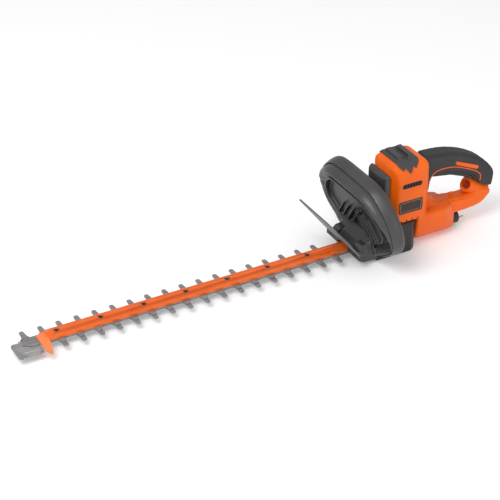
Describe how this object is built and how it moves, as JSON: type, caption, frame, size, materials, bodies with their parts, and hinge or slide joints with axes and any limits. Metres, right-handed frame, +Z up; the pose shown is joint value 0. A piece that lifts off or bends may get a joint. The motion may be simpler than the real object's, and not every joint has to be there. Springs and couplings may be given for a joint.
{
  "type": "hedge trimmer",
  "caption": "Corded hedge trimmer with long double-sided reciprocating blades, a ridged support bar, hooped front handle with switch lever, hand guard and closed rear handle with trigger.",
  "frame": {"origin": "flat underside of the gearcase base, directly below the crank shaft axis", "axes": "+Z up away from the rest face, -X along the blades to their tip, +X to the rear handle, -Y to the operator's left"},
  "size_m": [0.9595, 0.2514, 0.189],
  "materials": {
    "blade_steel": "ground sheet steel",
    "bar_paint": "satin powder coat",
    "fastener_steel": "zinc plated",
    "guard_grey": "fine matte",
    "shell_black": "fine texture",
    "case_black": "fine texture",
    "housing_orange": "semi gloss",
    "grip_rubber": "soft matte",
    "trigger_black": "satin",
    "machined_steel": "machined",
    "sintered_gear": "sintered steel",
    "bronze": "sintered bronze",
    "copper": "enamelled copper",
    "felt": "felt",
    "carbon": "graphite",
    "brass": "stamped brass",
    "fan_nylon": "moulded nylon",
    "plate_dark": "satin",
    "pin_nickel": "nickel plated",
    "cap_film": "film capacitor"
  },
  "bodies": {
    "tool_body": {"blade_bar": "bar_paint", "blade_bolts": "fastener_steel", "blade_sleeves": "machined_steel", "blade_washers": "fastener_steel", "blade_nuts": "fastener_steel", "guard_plate": "guard_grey", "guard_screws": "fastener_steel", "front_handle_shell": "shell_black", "lever_pivot_pins": "machined_steel", "lever_spring": "machined_steel", "front_switch": "trigger_black", "front_collar": "case_black", "gearcase_base": "case_black", "gearcase_cover": "case_black", "gearcase_screws": "fastener_steel", "dust_felts": "felt", "crank_lower_bush": "bronze", "crank_upper_bush": "bronze", "stator_core": "machined_steel", "field_coils": "copper", "motor_lower_bearing": "machined_steel", "motor_upper_bearing": "machined_steel", "brush_holders": "brass", "carbon_brushes": "carbon", "brush_springs": "machined_steel", "housing_left": "housing_orange", "housing_right": "housing_orange", "vent_cap": "shell_black", "vent_grilles": "shell_black", "name_plates": "plate_dark", "grip_cover_left": "grip_rubber", "grip_cover_right": "grip_rubber", "grip_accents": "housing_orange", "trigger_pin": "machined_steel", "trigger_spring": "machined_steel", "main_switch": "trigger_black", "inlet_body": "trigger_black", "inlet_pins": "pin_nickel", "suppressor": "cap_film", "housing_screws": "fastener_steel"},
    "lower_blade_body": {"lower_blade": "blade_steel"},
    "upper_blade_body": {"upper_blade": "blade_steel"},
    "crank": {"crank_shaft": "machined_steel", "lower_eccentric": "sintered_gear", "upper_eccentric": "sintered_gear", "drive_gear": "sintered_gear"},
    "armature": {"armature_shaft": "machined_steel", "motor_pinion": "machined_steel", "armature_core": "machined_steel", "commutator": "copper", "motor_fan": "fan_nylon"},
    "front_lever": {"front_switch_lever": "shell_black"},
    "trigger": {"rear_trigger": "trigger_black"}
  },
  "joints": [
    {"name": "crank_turn", "type": "hinge", "parent": "tool_body", "child": "crank", "pos_m": [0, 0, 0.03], "axis": [0, 0, 1], "range_deg": [-90, 90]},
    {"name": "lower_blade_slide", "type": "slide", "parent": "tool_body", "child": "lower_blade_body", "axis": [1, 0, 0], "range_m": [-0.0085, 0.0085]},
    {"name": "upper_blade_slide", "type": "slide", "parent": "tool_body", "child": "upper_blade_body", "axis": [1, 0, 0], "range_m": [-0.0085, 0.0085]},
    {"name": "armature_spin", "type": "hinge", "parent": "tool_body", "child": "armature", "pos_m": [0.04, 0, 0.1], "axis": [0, 0, 1], "range_deg": [-635, 635]},
    {"name": "front_lever_swing", "type": "hinge", "parent": "tool_body", "child": "front_lever", "pos_m": [-0.04, 0, 0.024], "axis": [0, 1, 0], "range_deg": [-2, 0], "stiffness_Nm_per_rad": 6},
    {"name": "trigger_swing", "type": "hinge", "parent": "tool_body", "child": "trigger", "pos_m": [0.104, 0, 0.132], "axis": [0, 1, 0], "range_deg": [-3, 0], "stiffness_Nm_per_rad": 0.8}
  ],
  "couplings": [
    {"joint": "lower_blade_slide", "follows": "crank_turn", "m_per_rad": 0.005305},
    {"joint": "upper_blade_slide", "follows": "crank_turn", "m_per_rad": -0.005305},
    {"joint": "armature_spin", "follows": "crank_turn", "ratio": -7}
  ]
}
